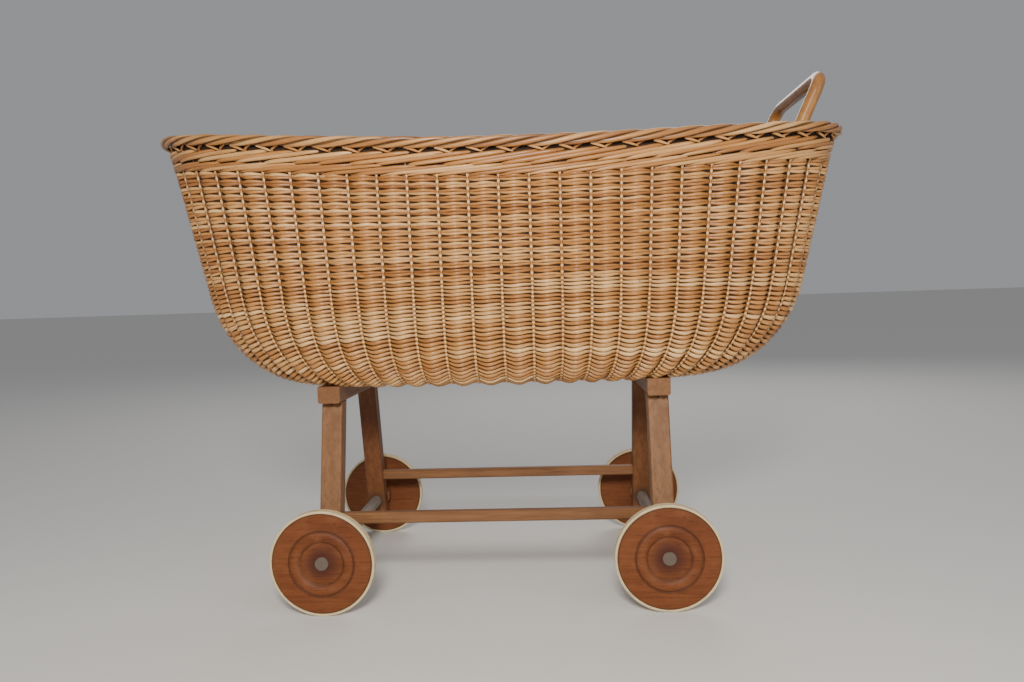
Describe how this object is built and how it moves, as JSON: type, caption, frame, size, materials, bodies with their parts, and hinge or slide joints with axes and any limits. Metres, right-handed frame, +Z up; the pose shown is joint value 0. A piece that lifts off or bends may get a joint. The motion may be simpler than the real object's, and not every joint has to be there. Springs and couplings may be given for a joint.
{
  "type": "doll pram",
  "caption": "Oblong wicker doll pram basket with a bent cane handle on a splayed wooden frame with turned wooden disc wheels.",
  "frame": {"origin": "on the ground under the middle of the basket", "axes": "+X towards the handle end, +Y across, +Z up"},
  "size_m": [0.9993, 0.4268, 0.705],
  "materials": {
    "weave": "natural peeled willow, single and double weave",
    "wale": "thick willow rods, natural",
    "border": "rolled willow border, natural",
    "cane": "bent cane, glossy",
    "board": "thin board, red brown stain",
    "frame_wood": "beech, waxed and worn",
    "axle_wood": "hardwood dowel, greyed",
    "wheel_wood": "turned beech, red brown stain",
    "tyre": "cream rubber band, aged",
    "peg_wood": "willow pegs",
    "steel": "plain wire nails and screws, darkened"
  },
  "bodies": {
    "pram": {"wall_lower": "weave", "wall_upper": "weave", "stake_collar": "weave", "wale_band": "wale", "rim_border": "border", "handle_bow": "cane", "base_board": "board", "leg_front_left": "frame_wood", "leg_front_right": "frame_wood", "leg_rear_left": "frame_wood", "leg_rear_right": "frame_wood", "front_cross_rail": "frame_wood", "rear_cross_rail": "frame_wood", "stretcher_left": "frame_wood", "stretcher_right": "frame_wood", "handle_pegs": "peg_wood", "leg_nails": "steel", "stretcher_nails": "steel", "basket_screws": "steel"},
    "front_wheelset": {"front_axle": "axle_wood", "wheel_front_left": "wheel_wood", "wheel_front_right": "wheel_wood", "tyre_front_left": "tyre", "tyre_front_right": "tyre", "boss_front_left": "wheel_wood", "boss_front_right": "wheel_wood"},
    "rear_wheelset": {"rear_axle": "axle_wood", "wheel_rear_left": "wheel_wood", "wheel_rear_right": "wheel_wood", "tyre_rear_left": "tyre", "tyre_rear_right": "tyre", "boss_rear_left": "wheel_wood", "boss_rear_right": "wheel_wood"}
  },
  "joints": [
    {"name": "front_axle_spin", "type": "hinge", "parent": "pram", "child": "front_wheelset", "pos_m": [-0.2385, 0, 0.07], "axis": [0, 1, 0], "continuous": true},
    {"name": "rear_axle_spin", "type": "hinge", "parent": "pram", "child": "rear_wheelset", "pos_m": [0.2145, 0, 0.07], "axis": [0, 1, 0], "continuous": true}
  ]
}
